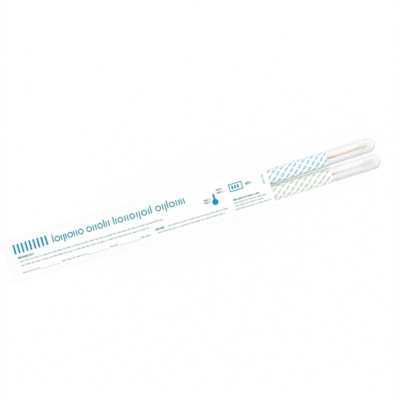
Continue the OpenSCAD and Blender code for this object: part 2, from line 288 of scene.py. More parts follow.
def ripple(x, y):
    """Lift of film and paper together, over the empty end only, never below the height rule."""
    empty = smooth(SLOPE_TOP_X - RIPPLE_START - x, 0, RIPPLE_FADE)
    long_wave = np.sin(x / LONG_WAVE + LONG_LEAN * y) * np.cos(y / CROSS_WAVE + x / CROSS_DRIFT)
    wave = long_wave + SHORT_SHARE * np.sin(x / SHORT_WAVE - y / SHORT_LEAN)
    corner = smooth(PEEL_X + CURL_LENGTH - x, 0, CURL_LENGTH) * smooth(np.abs(y), CURL_FROM, HALF_WIDTH)
    return empty * (RIPPLE_HEIGHT * (wave + 1 + SHORT_SHARE)) + CURL_HEIGHT * corner ** CURL_POWER


corner_lift = [round(float(ripple(PEEL_X, y)), 2) for y in (-HALF_WIDTH, HALF_WIDTH)]
print("lift of the peel corners:", corner_lift, "mm")


# %% Sags
PUFF_HEIGHT, PUFF_START, PUFF_FADE, PUFF_AT_PEEL = 0.32, 14, 30, (6, 24)
PUFF_WAVE, PUFF_PHASE, PUFF_CROSS, PUFF_DRIFT = 13.0, 1.3, 7.5, 51
SEAL_FADE = 5
SINK_BETWEEN, SINK_BESIDE = 0.55, 0.22
SINK_BEFORE, SINK_AFTER = 3, 12
MOUTH_SINK, MOUTH_REACH = 0.7, 30


def paper_sag(x, y):
    """Lift of the paper alone: hollow air under the empty middle, and sinking beside the tubes."""
    unsealed = smooth(HALF_WIDTH - np.abs(y), SEAL_BAND, SEAL_BAND + SEAL_FADE)
    empty = smooth(POCKET_END_X - PUFF_START - x, 0, PUFF_FADE) * smooth(x - PEEL_X, *PUFF_AT_PEEL)
    puff = 0.5 + 0.5 * np.sin(x / PUFF_WAVE + PUFF_PHASE) * np.cos(y / PUFF_CROSS + x / PUFF_DRIFT)
    from_blue, from_green = y - BLUE.side_at(x), y - GREEN.side_at(x)
    nearest = np.minimum(np.abs(from_blue), np.abs(from_green))
    between = (from_blue < 0) & (from_green > 0)
    beside = np.where(
        between,
        SINK_BETWEEN * np.sin(np.pi / 2 * np.clip(nearest / HALF_PITCH, 0, 1)) ** 2,
        SINK_BESIDE * np.sin(np.pi * np.clip(nearest / POCKET_RADIUS, 0, 1)) ** 2,
    )
    over = smooth(x, POCKET_END_X - SINK_BEFORE, POCKET_END_X + SINK_AFTER)
    open_mouth = 1 + MOUTH_SINK * smooth(x, MOUTH_X - MOUTH_REACH, MOUTH_X)
    return PUFF_HEIGHT * empty * unsealed * puff - over * open_mouth * beside


def paper_top(x, y):
    return sealed_height(x) + PAPER_THICKNESS + ripple(x, y) + paper_sag(x, y)


between_tubes = (BLUE.side_at(MOUTH_X) + GREEN.side_at(MOUTH_X)) / 2
print("paper at the mouth between the tubes:", round(float(paper_sag(MOUTH_X, between_tubes)), 2), "mm")

# %% [markdown]
# ## Making pieces
# Paper, tubes and labels are made from grids of points, as lofts. One helper joins the points with faces,
# one makes the object, and one puts it on its body and hides the frame's solids that it stands for. Points
# closer than a ten-thousandth of a millimetre are merged.


# %% Mesh helpers
MERGE_WITHIN = 1e-7
SHARP_ANGLE = math.radians(40)


def finish_piece(piece, slot, *nodes):
    """Puts a piece on its body and hides the frame's solids that it stands for. The material slot is not
    used.
    """
    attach(piece, BODY)
    if nodes:
        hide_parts(*nodes)
    print(piece.name, len(piece.data.polygons), "faces")


def new_piece(name, points, faces, material):
    """A smooth-shaded object from points in millimetres."""
    mesh = bpy.data.meshes.new(name)
    mesh.from_pydata([tuple(point) for point in np.asarray(points) * MM], [], faces)
    shell = bmesh.new()
    shell.from_mesh(mesh)
    bmesh.ops.remove_doubles(shell, verts=shell.verts, dist=MERGE_WITHIN)
    bmesh.ops.recalc_face_normals(shell, faces=shell.faces)
    shell.to_mesh(mesh)
    shell.free()
    mesh.shade_smooth()
    mesh.set_sharp_from_angle(angle=SHARP_ANGLE)
    mesh.materials.append(material)
    piece = bpy.data.objects.new(name, mesh)
    bpy.context.scene.collection.objects.link(piece)
    return piece


print("piece makers ready")


# %% Lofts
def loft_faces(rows, columns, closed=False):
    """Faces between the points of a grid, which may close on itself along its columns."""
    faces = []
    for row in range(rows - 1):
        for column in range(columns if closed else columns - 1):
            after = (column + 1) % columns
            here, there = row * columns, (row + 1) * columns
            faces.append((here + column, here + after, there + after, there + column))
    return faces


def turned(axis, outline, segments=96):
    """Points and faces of an outline of (distance, radius) turned round a tube's axis."""
    outline = np.array(outline)
    turn = np.linspace(0, 2 * np.pi, segments, endpoint=False)
    distance = np.repeat(outline[:, :1], segments, axis=1)
    side = outline[:, 1:] * np.sin(turn)
    up = outline[:, 1:] * np.cos(turn)
    return axis.place(distance, side, up).reshape(-1, 3), loft_faces(len(outline), segments, closed=True)


print("mesh helpers ready")

# %% [markdown]
# ## Finishes
# Each finish is built where it is first needed. Patterns read Object coordinates, and every piece sits at
# the origin, so a pattern's scale is in waves per metre and it stays put on the piece.


# %% Finish helpers
def shade(red, green, blue):
    """A colour written as it looks on a screen, from 0 to 1, turned into light."""
    return tuple(
        part / 12.92 if part <= 0.04045 else ((part + 0.055) / 1.055) ** 2.4 for part in (red, green, blue)
    ) + (1.0,)


def new_finish(name):
    finish = bpy.data.materials.new(name)
    finish.use_nodes = True
    return finish, Graph(finish.node_tree)


def object_place(graph, axis=None):
    """Object coordinates, moved into a tube's own frame where an axis is given."""
    place = graph.add("ShaderNodeTexCoord", out="Object")
    if axis is None:
        return place
    return graph.add(
        "ShaderNodeMapping", {"vector_type": "TEXTURE"},
        {"Vector": place, "Location": tuple(axis.rim * MM), "Rotation": (0, 0, axis.angle)},
    )


def stretched(graph, place, x, y, z):
    """Coordinates scaled differently along each direction, in waves per metre."""
    return graph.add("ShaderNodeMapping", None, {"Vector": place, "Scale": (x, y, z)})


def bump(graph, height, depth):
    """A normal from a height of 0 to 1 that stands for a depth in millimetres."""
    return graph.add("ShaderNodeBump", None, {"Height": height, "Distance": depth * MM, "Strength": 1.0})


def surface(graph, values):
    """A Principled shader and the output."""
    shader = graph.add("ShaderNodeBsdfPrincipled", None, values)
    graph.add("ShaderNodeOutputMaterial", None, {"Surface": shader})


def give_finish(node, finish):
    """Puts a finish on a solid of the frame that keeps its own shape."""
    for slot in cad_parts[node].material_slots:
        slot.material = finish


print("finish helpers ready")

# %% [markdown]
# ## The paper web
# The printed side of the wrapper is a coated medical paper: bright, smooth, with a faint cloudiness from
# its fibres. On packs of this kind a heated bar with a fine knurl presses it onto the film along both long
# edges and across the peel end, so the bands there have a tiny pattern of crossed ribs. The knurl is far
# too fine for geometry, so it is a bump.

# %% Coated paper finish
PEEL_SEAL, SEAL_EDGE = 8.0, 0.25
KNURL = 5200
paper_finish, graph = new_finish("coated_paper")
place = object_place(graph)
across = graph.add("ShaderNodeSeparateXYZ", None, [place], out="Y").math("ABSOLUTE")
along = graph.add("ShaderNodeSeparateXYZ", None, [place], out="X")
side_band = graph.band(across, (HALF_WIDTH - SEAL_BAND) * MM, (HALF_WIDTH - SEAL_BAND + SEAL_EDGE) * MM)
end_band = 1 - graph.band(along, (PEEL_X + PEEL_SEAL - SEAL_EDGE) * MM, (PEEL_X + PEEL_SEAL) * MM)
sealed = side_band.math("MAXIMUM", end_band)
knurl = (along * KNURL + across * KNURL).math("SINE") * (along * KNURL - across * KNURL).math("SINE")
clouds = graph.noise(place, 260, 4, 0.6)
fibres = graph.noise(stretched(graph, place, 900, 2600, 900), 1.0, 3, 0.6)
tone = graph.mix(clouds, shade(0.982, 0.984, 0.985), shade(0.993, 0.994, 0.993))
tone = graph.mix(sealed * 0.4, tone, shade(0.970, 0.978, 0.980))
surface(graph, {
    "Base Color": tone,
    "Roughness": 0.42 + clouds * 0.12 - sealed * 0.08,
    "Normal": bump(graph, fibres * 0.35 + clouds * 0.2 + sealed * knurl * 0.5, 0.02),
})
print("paper finish:", len(graph.tree.nodes), "nodes")

# %% [markdown]
# The web is a loft of two grids, its top and its underside. Its rows are close together round the two cut
# corners at the peel end, and its columns are even.

# %% Paper web
CORNER_RADIUS = 2.0
CORNER_ROWS, BODY_ROWS, SHEET_COLUMNS = 7, 160, 73
corner_turn = np.linspace(0, np.pi / 2, CORNER_ROWS)
rows = np.concatenate([
    PEEL_X + CORNER_RADIUS * (1 - np.cos(corner_turn)),
    np.linspace(PEEL_X + CORNER_RADIUS, MOUTH_X, BODY_ROWS)[1:],
])
half_widths = np.full(len(rows), HALF_WIDTH)
half_widths[:CORNER_ROWS] = HALF_WIDTH - CORNER_RADIUS * (1 - np.sin(corner_turn))
columns = np.linspace(-1, 1, SHEET_COLUMNS)


def slab(name, rows, half_widths, columns, top_rule, thickness, material):
    """A thin sheet that follows a height rule."""
    x = np.repeat(rows[:, None], len(columns), axis=1)
    y = half_widths[:, None] * columns[None, :]
    top = top_rule(x, y)
    upper = np.stack([x, y, top], axis=2).reshape(-1, 3)
    lower = np.stack([x, y, top - thickness], axis=2).reshape(-1, 3)
    count, width = len(upper), len(columns)
    faces = loft_faces(len(rows), width)
    faces += [tuple(count + corner for corner in reversed(face)) for face in faces]
    rim = list(range(width)) + [row * width + width - 1 for row in range(1, len(rows))]
    rim += [(len(rows) - 1) * width + column for column in range(width - 2, -1, -1)]
    rim += [row * width for row in range(len(rows) - 2, 0, -1)]
    for here, after in zip(rim, rim[1:] + rim[:1]):
        faces.append((here, after, count + after, count + here))
    return new_piece(name, np.concatenate([upper, lower]), faces, material)


web = slab("paper_web", rows, half_widths, columns, paper_top, PAPER_THICKNESS, paper_finish)
finish_piece(web, "coated_paper", "printed_web")

# %% [markdown]
# ## The film
# The other side is a clear film. Heat and vacuum drew it into a pocket with one lane for each tube. The
# frame's solid already has that pocket, so the dressed film is a copy of it: its points are merged, it is
# cut along a grid, and its empty end then takes the same ripples as the paper. Only its outer skin is kept,
# because a renderer stops a ray after a few clear surfaces, and a low view goes through the film and both
# tubes at once.


# %% Film finish
def clear_body(graph, place, tint, pale, painted_shade, roughness, waviness, scale):
    """The milky part of a clear plastic, with faint flow waves and a grey mixed in as painted shade where
    asked.
    """
    flow = graph.noise(stretched(graph, place, scale * 0.25, scale, scale), 1.0, 2, 0.5)
    return graph.add("ShaderNodeBsdfPrincipled", None, {
        # The grey is painted shade, not a colour of the plastic.
        "Base Color": graph.mix(painted_shade, graph.mix(flow, tint, pale), shade(0.60, 0.62, 0.63)),
        "Roughness": roughness + flow * 0.04,
        "Normal": bump(graph, flow, waviness),
    })


def clear_output(graph, share, body):
    """Mixes the milky part into a see-through surface."""
    gone = graph.add("ShaderNodeBsdfTransparent", None, {"Color": (0.9995, 0.9998, 0.9998, 1.0)})
    mixed = graph.add("ShaderNodeMixShader", None, [share, gone, body])
    graph.add("ShaderNodeOutputMaterial", None, {"Surface": mixed})


def slant_line(graph):
    """0 face on, rising steeply to 1 where the surface turns away."""
    slant = graph.add("ShaderNodeLayerWeight", None, {"Blend": 0.5}, out="Facing")
    return slant.math("POWER", 4.0)


film_finish, graph = new_finish("clear_film")
place = object_place(graph)
line = slant_line(graph)
# Where the film is seen at a slant it is milkier, and the grey mixed in there is painted shade at its edges.
body = clear_body(
    graph, place, shade(0.95, 0.96, 0.965), shade(0.98, 0.985, 0.985), line * 0.3,
    roughness=0.16, waviness=0.05, scale=320,
)
clear_output(graph, 0.15 + line * 0.4, body)
print("film finish:", len(graph.tree.nodes), "nodes")


# %% Dressed copies of the frame's solids
COPY_SHARP_ANGLE = math.radians(35)


def merged_copy(node):
    """A node's mesh as one joined shell."""
    shell = bmesh.new()
    shell.from_mesh(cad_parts[node].data)
    bmesh.ops.remove_doubles(shell, verts=shell.verts, dist=MERGE_WITHIN)
    return shell


def sliced(shell, step_x, step_y):
    """Cuts a mesh along a grid of upright planes, so that it can bend."""
    for normal, step in ((Vector((1, 0, 0)), step_x * MM), (Vector((0, 1, 0)), step_y * MM)):
        places = [vert.co.dot(normal) for vert in shell.verts]
        for at in np.arange(min(places) + step / 2, max(places), step):
            parts = [*shell.verts, *shell.edges, *shell.faces]
            bmesh.ops.bisect_plane(shell, geom=parts, dist=1e-8, plane_co=normal * at, plane_no=normal)


def raise_points(verts, lift):
    """Moves points up by a rule of their place."""
    verts = list(verts)
    places = np.array([vert.co for vert in verts]) / MM
    for vert, rise in zip(verts, lift(places[:, 0], places[:, 1])):
        vert.co.z += float(rise) * MM


def dressed_copy(node, name, material, lift, step_x, step_y, trim=None):
    """A copy of a node's solid, trimmed if asked, cut along a grid, whose points are moved up by a rule."""
    shell = merged_copy(node)
    if trim:
        trim(shell)
    sliced(shell, step_x, step_y)
    raise_points(shell.verts, lift)
    mesh = bpy.data.meshes.new(name)
    shell.to_mesh(mesh)
    shell.free()
    mesh.shade_smooth()
    mesh.set_sharp_from_angle(angle=COPY_SHARP_ANGLE)
    mesh.materials.clear()
    mesh.materials.append(material)
    piece = bpy.data.objects.new(name, mesh)
    bpy.context.scene.collection.objects.link(piece)
    return piece


print("copy tools ready")

# %% Pocket film
FILM_CUT = 5
FACES_UP = 0.5


def outer_skin(shell):
    """Drops the film's inner skin, which faces a tube or the paper."""
    inner = []
    for face in shell.faces:
        centre = face.calc_center_median() / MM
        lane = min((BLUE, GREEN), key=lambda axis: abs(centre.y - axis.side_at(centre.x)))
        middle = Vector((max(centre.x, POCKET_END_X + POCKET_RADIUS), lane.side_at(centre.x), lane.rim[2]))
        if face.normal.z > FACES_UP or face.normal.dot(middle - centre) > 0:
            inner.append(face)
    bmesh.ops.delete(shell, geom=inner, context="FACES")


film = dressed_copy("clear_film", "pocket_film", film_finish, ripple, FILM_CUT, FILM_CUT, outer_skin)
finish_piece(film, "clear_film", "clear_film")

# %% [markdown]
# ## The tubes
# Each tube is moulded from clear plastic: a plain wall, a smooth rim and a half-round end. An outline of
# its outer skin and one of its bore are turned round its axis. The bore is made only where it shows, from
# just inside the label to the round end, to keep clear surfaces few. The frame's solids have the whole
# wall.

# %% Tube finish
def tube_finish(name, axis):
    """Clear plastic with painted shade, no property of the moulding: greyer and milkier towards the side away
    from the lamp, and grey where the wall is seen at a slant.
    """
    finish, graph = new_finish(name)
    place = object_place(graph, axis)
    side = graph.add("ShaderNodeSeparateXYZ", None, [place], out="Y")
    # Painted shade: 0 on the lamp's side of the axis, rising to 1 on the far side, where the tube turns
    # greyer and milkier.
    painted_shade_side = (side * (-1 / (axis.radius * MM))).math("MAXIMUM", 0.0)
    line = slant_line(graph)
    body = clear_body(
        graph, place, shade(0.92, 0.93, 0.94), shade(0.96, 0.965, 0.97), (painted_shade_side + line).math("MINIMUM", 1.0),
        roughness=0.06, waviness=0.012, scale=90,
    )
    clear_output(graph, 0.02 + painted_shade_side * 0.085 + line * 0.75, body)
    print(name, "finish:", len(graph.tree.nodes), "nodes")
    return finish


# %% Tube walls
TUBE_WALL = 1.0
BORE_TUCK = 2.0


def dome(centre, radius, steps=20):
    """Outline of a half-round end, from its tip to its full radius."""
    turn = np.linspace(0, np.pi / 2, steps)
    return [(centre + radius * math.cos(angle), radius * math.sin(angle)) for angle in turn]


def skin_outline(axis):
    """Outline of the outer skin, from the tip of the round end to the inside of the rim."""
    centre = axis.length - axis.radius
    rim = [
        (0.5 * TUBE_WALL * (1 - math.sin(angle)), axis.radius - 0.5 * TUBE_WALL * (1 - math.cos(angle)))
        for angle in np.linspace(0, np.pi, 9)
    ]
    walls = np.linspace(centre, 0.5 * TUBE_WALL, 24)[1:-1]
    return dome(centre, axis.radius) + [(at, axis.radius) for at in walls] + rim


def bore_outline(axis, start):
    """Outline of the bore, from the tip of the round end back to a place along it."""
    centre, inner = axis.length - axis.radius, axis.radius - TUBE_WALL
    return dome(centre, inner) + [(at, inner) for at in np.linspace(centre, start, 12)[1:]]


for axis, name in ((BLUE, "blue"), (GREEN, "green")):
    finish = tube_finish(name + "_tube_clear", axis)
    skin = new_piece(name + "_tube_skin", *turned(axis, skin_outline(axis)), finish)
    finish_piece(skin, "clear_tube", name + "_tube")
    label_end = axis.span(name + "_label", axis.radius)[1]
    bore = new_piece(name + "_tube_bore", *turned(axis, bore_outline(axis, label_end - BORE_TUCK)), finish)
    bore.data.flip_normals()
    finish_piece(bore, "clear_tube")

# %% [markdown]
# ## The labels
# A label is a paper sleeve that doesn't quite meet underneath. It is a sheet bent round the tube, so it is
# lofted along its two edges, with its thickness. A clear varnish covers the paper and its print. At its
# steep sides the varnish mirrors the white room, so the print fades there.

# %% Label finish
VARNISH = {"Coat Weight": 1.0, "Coat Roughness": 0.15, "Coat IOR": 1.6}
label_finish, graph = new_finish("label_paper")
place = object_place(graph)
clouds = graph.noise(place, 420, 3, 0.6)
grain = graph.noise(stretched(graph, place, 3000, 3000, 3000), 1.0, 2, 0.5)
surface(graph, {
    "Base Color": graph.mix(clouds, shade(0.975, 0.982, 0.984), shade(0.990, 0.994, 0.993)),
    "Roughness": 0.38 + clouds * 0.1,
    "Normal": bump(graph, grain * 0.5 + clouds * 0.5, 0.008),
    **VARNISH,
})
print("label finish:", len(graph.tree.nodes), "nodes")


# %% Label sleeves
GLUE, LABEL_OUTSIDE, LABEL_SLOT = 0.05, 0.15, 2.0
END_ROW = 0.05


def sleeve(name, axis, start, end, inner, outer, slot_width, material):
    """A sheet bent round a tube, open underneath."""
    half_turn = math.pi - slot_width / 2 / outer
    turn = np.linspace(-half_turn, half_turn, 121)
    section = np.array(
        [(outer * math.sin(angle), outer * math.cos(angle)) for angle in turn]
        + [(inner * math.sin(angle), inner * math.cos(angle)) for angle in turn[::-1]]
    )
    distance = np.array([start, start + END_ROW, *np.linspace(start, end, 20)[1:-1], end - END_ROW, end])
    points = axis.place(
        np.repeat(distance[:, None], len(section), axis=1),
        np.repeat(section[None, :, 0], len(distance), axis=0),
        np.repeat(section[None, :, 1], len(distance), axis=0),
    ).reshape(-1, 3)
    count, last = len(section), (len(distance) - 1) * len(section)
    faces = loft_faces(len(distance), count, closed=True)
    for column in range(count // 2 - 1):
        far = count - 2 - column
        faces.append((column, column + 1, far, far + 1))
        faces.append((last + column + 1, last + column, last + far + 1, last + far))
    return new_piece(name, points, faces, material)


for axis, name in ((BLUE, "blue_label"), (GREEN, "green_label")):
    inner, outer = axis.radius + GLUE, axis.radius + LABEL_OUTSIDE
    start, end = axis.span(name, outer)
    label = sleeve(name + "_sleeve", axis, start, end, inner, outer, LABEL_SLOT, label_finish)
    finish_piece(label, "label_paper", name)
    print(name, "runs from", round(start, 2), "to", round(end, 2), "mm from the rim")

# %% [markdown]
# ## Inks
# Flexographic ink lies in a thin, slightly uneven film: a little paler where the plate pressed less. One
# rule makes every ink from its colour. The dashes on the labels keep the frame's solids. The bold marks and
# the title are copies of theirs, which take the ripples and sags of the paper.


# %% Ink finishes
def ink_finish(name, dark, pale, starving=0.2, varnish=None):
    """Matt printing ink. Starving is how much paper shows where the plate pressed least."""
    finish, graph = new_finish(name)
    place = object_place(graph)
    cover = graph.noise(place, 1900, 3, 0.6)
    starved = graph.band(graph.noise(place, 5200, 2, 0.5), 0.58, 0.75)
    tone = graph.mix(cover, dark, pale)
    surface(graph, {
        "Base Color": graph.mix(starved * starving, tone, shade(0.93, 0.95, 0.95)),
        "Roughness": 0.5 + cover * 0.15,
        "Specular IOR Level": 0.12,
        "Normal": bump(graph, cover, 0.006),
        **(varnish or {}),
    })
    return finish


bold_ink = ink_finish("ink_blue", shade(0.02, 0.55, 0.70), shade(0.07, 0.59, 0.735), 0.05)
title_ink = ink_finish("ink_teal", shade(0.12, 0.595, 0.675), shade(0.19, 0.64, 0.72), 0.12)
heading_ink = ink_finish("ink_heading_teal", shade(0.30, 0.62, 0.665), shade(0.39, 0.67, 0.71))
sign_ink = ink_finish("ink_sign_teal", shade(0.37, 0.635, 0.64), shade(0.47, 0.70, 0.70))
fine_ink = ink_finish("ink_grey_teal", shade(0.71, 0.775, 0.77), shade(0.78, 0.825, 0.82))
LABEL_INKS = {
    "blue": (shade(0.56, 0.78, 0.88), shade(0.66, 0.84, 0.92)),
    "teal": (shade(0.58, 0.81, 0.82), shade(0.68, 0.86, 0.87)),
    "olive": (shade(0.78, 0.83, 0.72), shade(0.85, 0.88, 0.80)),
}
for colour, (dark, pale) in LABEL_INKS.items():
    give_finish(colour + "_dashes", ink_finish("ink_label_" + colour, dark, pale, varnish=VARNISH))
print("inks of the print:", [ink.name for ink in (bold_ink, title_ink, heading_ink, sign_ink, fine_ink)])


# %% Bold print and title
INK_CUT = (2.5, 1.2)


def sheet_lift(x, y):
    return ripple(x, y) + paper_sag(x, y)


bold = dressed_copy("bold_print", "bold_ink_marks", bold_ink, sheet_lift, *INK_CUT)
finish_piece(bold, "ink_blue", "bold_print")
title = dressed_copy("title_print", "title_ink_marks", title_ink, sheet_lift, *INK_CUT)
finish_piece(title, "ink_teal", "title_print")

# %% [markdown]
# ## Fine print
# The frame holds one flat mark for each word of small print. Close to, a word is a row of thin strokes of
# uneven height, and the paper shows between them. There are about a thousand of them, so Geometry Nodes
# make them: each word is an edge, points are spread along it, and a small block stands on each point with
# its own height. The marks say nothing in any language.

# %% Words and plain marks
def connected_groups(shell):
    """The separate groups of joined points in a mesh."""
    waiting, groups = set(shell.verts), []
    while waiting:
        stack, group = [waiting.pop()], []
        while stack:
            vert = stack.pop()
            group.append(vert)
            for edge in vert.link_edges:
                other = edge.other_vert(vert)
                if other in waiting:
                    waiting.remove(other)
                    stack.append(other)
        groups.append(group)
    return groups


LOWEST_WORD, HIGHEST_WORD = 0.5, 2.7
plain_marks = merged_copy("fine_print")
words, spent = [], []
for group in connected_groups(plain_marks):
    corners = np.array([vert.co for vert in group]) / MM
    low, high = corners.min(axis=0), corners.max(axis=0)
    if LOWEST_WORD < high[1] - low[1] < HIGHEST_WORD:
        words.append((round(low[1], 3), low[0], high[0], high[1] - low[1]))
        spent += group
bmesh.ops.delete(plain_marks, geom=spent, context="VERTS")
sliced(plain_marks, *INK_CUT)
raise_points(plain_marks.verts, sheet_lift)
words.sort()
print(len(words), "words,", len(plain_marks.faces), "faces of rules and side marks")

# %% [markdown]
# The words become a mesh of bare edges with their height stored on the points. The tree turns edges into
# curves, spreads points along them at the stroke pitch, and reads the height back for each block.


# %% Geometry tree helpers
def new_tree(name, sizes):
    """A geometry tree with one mesh in, one mesh out, and named sizes."""
    tree = bpy.data.node_groups.new(name, "GeometryNodeTree")
    tree.interface.new_socket("Mesh", in_out="INPUT", socket_type="NodeSocketGeometry")
    for label, value in sizes.items():
        kind = {int: "NodeSocketInt", float: "NodeSocketFloat"}.get(type(value), "NodeSocketMaterial")
        socket = tree.interface.new_socket(label, in_out="INPUT", socket_type=kind)
        if kind != "NodeSocketMaterial":
            socket.default_value = value
    tree.interface.new_socket("Mesh", in_out="OUTPUT", socket_type="NodeSocketGeometry")
    graph = Graph(tree)
    start = tree.nodes.new("NodeGroupInput")
    return graph, {socket.name: Wire(graph, socket) for socket in start.outputs if socket.name}


def end_tree(graph, instances, material):
    """Realizes the instances, gives them their finish and sends them out."""
    real = graph.add("GeometryNodeRealizeInstances", None, [instances])
    dressed = graph.add("GeometryNodeSetMaterial", None, {"Geometry": real, "Material": material})
    graph.add("NodeGroupOutput", None, [dressed])


def run_tree(graph, mesh, sizes):
    """Runs a tree on a mesh and gives back the plain mesh that it makes."""
    carrier = bpy.data.objects.new(mesh.name, mesh)
    bpy.context.scene.collection.objects.link(carrier)
    modifier = carrier.modifiers.new("tree", "NODES")
    modifier.node_group = graph.tree
    for socket in graph.tree.interface.items_tree:
        if socket.in_out == "INPUT" and socket.name in sizes:
            modifier[socket.identifier] = sizes[socket.name]
    ready = carrier.evaluated_get(bpy.context.evaluated_depsgraph_get())
    result = bpy.data.meshes.new_from_object(ready)
    carrier.modifiers.remove(modifier)
    bpy.data.objects.remove(carrier)
    return result


print("geometry tree helpers ready")

# %% Strokes of small print
INK_THICKNESS, INK_GAP = 0.05, 0.03
tree, at = new_tree("print strokes", {
    "Stroke pitch": 0.42 * MM, "Stroke width": 0.345 * MM, "Least height": 0.8,
    "Ink thickness": INK_THICKNESS * MM, "Seed": 7, "Ink": fine_ink,
})
lines = tree.add("GeometryNodeMeshToCurve", None, [at["Mesh"]])
spots = tree.add(
    "GeometryNodeCurveToPoints", {"mode": "LENGTH"}, {"Curve": lines, "Length": at["Stroke pitch"]}
)
height = tree.add("GeometryNodeInputNamedAttribute", {"data_type": "FLOAT"}, {"Name": "word_height"})
uneven = tree.add(
    "FunctionNodeRandomValue", {"data_type": "FLOAT"},
    {2: at["Least height"], 3: 1.0, "Seed": at["Seed"]}, out=1,
)
block = tree.add("GeometryNodeMeshCube", None, {"Size": (1.0, 1.0, 1.0)})
raised = tree.add("GeometryNodeTransform", None, {"Geometry": block, "Translation": (0.0, 0.5, 0.5)})
size = tree.add("ShaderNodeCombineXYZ", None, [at["Stroke width"], height * uneven, at["Ink thickness"]])
strokes = tree.add("GeometryNodeInstanceOnPoints", None, {"Points": spots, "Instance": raised, "Scale": size})
end_tree(tree, strokes, at["Ink"])
print("stroke tree:", len(tree.tree.nodes), "nodes")

# %% [markdown]
# Headings are printed heavier than the text under them, and the words beside the signs are as heavy but
# paler. The same tree makes all three. Each result is cut finer and laid on the paper, so that it bends
# with it.


# %% Printing of words
WORD_INSET = 0.08
STROKE_CUT = (60, 0.5)


def print_words(name, chosen, ink, slot, sizes, extra=None):
    """Fills words with strokes, lays them on the paper and joins them with other marks in the same ink."""
    rows_of_words = bpy.data.meshes.new(name + "_rows")
    ends = [
        (x * MM, base * MM, 0.0)
        for base, start, end, _ in chosen for x in (start + WORD_INSET, end - WORD_INSET)
    ]
    rows_of_words.from_pydata(ends, [(i, i + 1) for i in range(0, len(ends), 2)], [])
    heights = rows_of_words.attributes.new("word_height", "FLOAT", "POINT")
    heights.data.foreach_set("value", [word[3] * MM for word in chosen for _ in range(2)])
    shell = bmesh.new()
    shell.from_mesh(run_tree(tree, rows_of_words, {"Ink": ink, **sizes}))
    sliced(shell, *STROKE_CUT)
    raise_points(shell.verts, lambda x, y: paper_top(x, y) + INK_GAP)
    mesh = bpy.data.meshes.new(name)
    if extra:
        extra.to_mesh(mesh)
        extra.free()
        shell.from_mesh(mesh)
    shell.to_mesh(mesh)
    shell.free()
    mesh.materials.clear()
    mesh.materials.append(ink)
    mesh.polygons.foreach_set("material_index", [0] * len(mesh.polygons))
    piece = bpy.data.objects.new(name, mesh)
    bpy.context.scene.collection.objects.link(piece)
    finish_piece(piece, slot, "fine_print")


print("word printer ready")


# %% Text and headings
HEADING_HEIGHT = 1.45
LOWEST_SIGN = -1.0


def kind_of(word):
    """Text, a heading, or a word beside the signs, which stand on the upper side of the full end."""
    base, start, _, height = word
    if height < HEADING_HEIGHT:
        return "text"
    return "sign" if base > LOWEST_SIGN and start > 0 else "heading"


text, headings, signs = (
    [word for word in words if kind_of(word) == kind] for kind in ("text", "heading", "sign")
)
print(len(text), "words of text,", len(headings), "of headings and", len(signs), "beside the signs")
print_words("text_marks", text, fine_ink, "ink_grey_teal", {}, extra=plain_marks)
HEAVY = {"Stroke pitch": 0.6 * MM, "Stroke width": 0.46 * MM, "Least height": 0.85}
print_words("heading_marks", headings, heading_ink, "ink_grey_teal", HEAVY)
print_words("sign_marks", signs, sign_ink, "ink_grey_teal", HEAVY)

# %% [markdown]
# ## Caps and sticks
# The caps are rigid mouldings and their solids are already right, so they only take a finish: natural
# polyethylene, slightly waxy, with faint flow marks. One stick is wood, cut along its grain; the other is
# an extruded plastic rod. Their patterns are stretched along the tube that each lies in.

# %% Cap finish
cap_finish, graph = new_finish("white_cap")
place = object_place(graph)
flow = graph.noise(stretched(graph, place, 60, 260, 260), 1.0, 3, 0.5)
pits = graph.noise(place, 6000, 2, 0.5)
surface(graph, {
    "Base Color": graph.mix(flow, shade(0.93, 0.935, 0.93), shade(0.96, 0.965, 0.96)),
    "Roughness": 0.34 + flow * 0.12,
    "Normal": bump(graph, pits * 0.4 + flow * 0.6, 0.02),
})

for node in ("blue_cap", "green_cap"):
    give_finish(node, cap_finish)
print("caps finished")

# %% Wood stick
wood_finish, graph = new_finish("stick_wood")
place = object_place(graph, BLUE)
grain = graph.noise(stretched(graph, place, 70, 2600, 2600), 1.0, 4, 0.65)
pores = graph.band(graph.noise(stretched(graph, place, 500, 9000, 9000), 1.0, 2, 0.5), 0.62, 0.72)
tone = graph.add("ShaderNodeValToRGB", {"stops": [
    (0.3, shade(0.90, 0.80, 0.69)[:3]),
    (0.5, shade(0.95, 0.88, 0.79)[:3]),
    (0.7, shade(0.98, 0.93, 0.87)[:3]),
]}, [grain])
surface(graph, {
    "Base Color": graph.mix(pores * 0.35, tone, shade(0.72, 0.54, 0.38)),
    "Roughness": 0.62 + grain * 0.15,
    "Normal": bump(graph, grain - pores * 0.5, 0.05),
})
give_finish("wood_stick", wood_finish)
print("wood finish:", len(graph.tree.nodes), "nodes")

# %% Plastic stick
rod_finish, graph = new_finish("stick_plastic")
place = object_place(graph, GREEN)
draw_marks = graph.noise(stretched(graph, place, 40, 3200, 3200), 1.0, 3, 0.6)
surface(graph, {
    "Base Color": graph.mix(draw_marks, shade(0.93, 0.94, 0.935), shade(0.97, 0.975, 0.97)),
    "Roughness": 0.35 + draw_marks * 0.15,
    "Normal": bump(graph, draw_marks, 0.02),
})
give_finish("plastic_stick", rod_finish)
print("sticks finished")

# %% [markdown]
# ## The buds
# Fibre is wound round the end of each stick, thin enough for the stick to show through it. So a bud has no
# skin: it is a nest of loose white hairs. Geometry Nodes scatter points over a few turned blobs, one inside
# the other, and lay one bent hair on each point.

# %% Fibre finish
fibre_finish, graph = new_finish("swab_fibre")
tone = graph.noise(object_place(graph), 1500, 3, 0.6)
surface(graph, {
    "Base Color": graph.mix(tone, shade(0.975, 0.98, 0.98), shade(1.0, 1.0, 0.995)),
    "Roughness": 0.7 + tone * 0.2,
})
print("fibre finish:", len(graph.tree.nodes), "nodes")


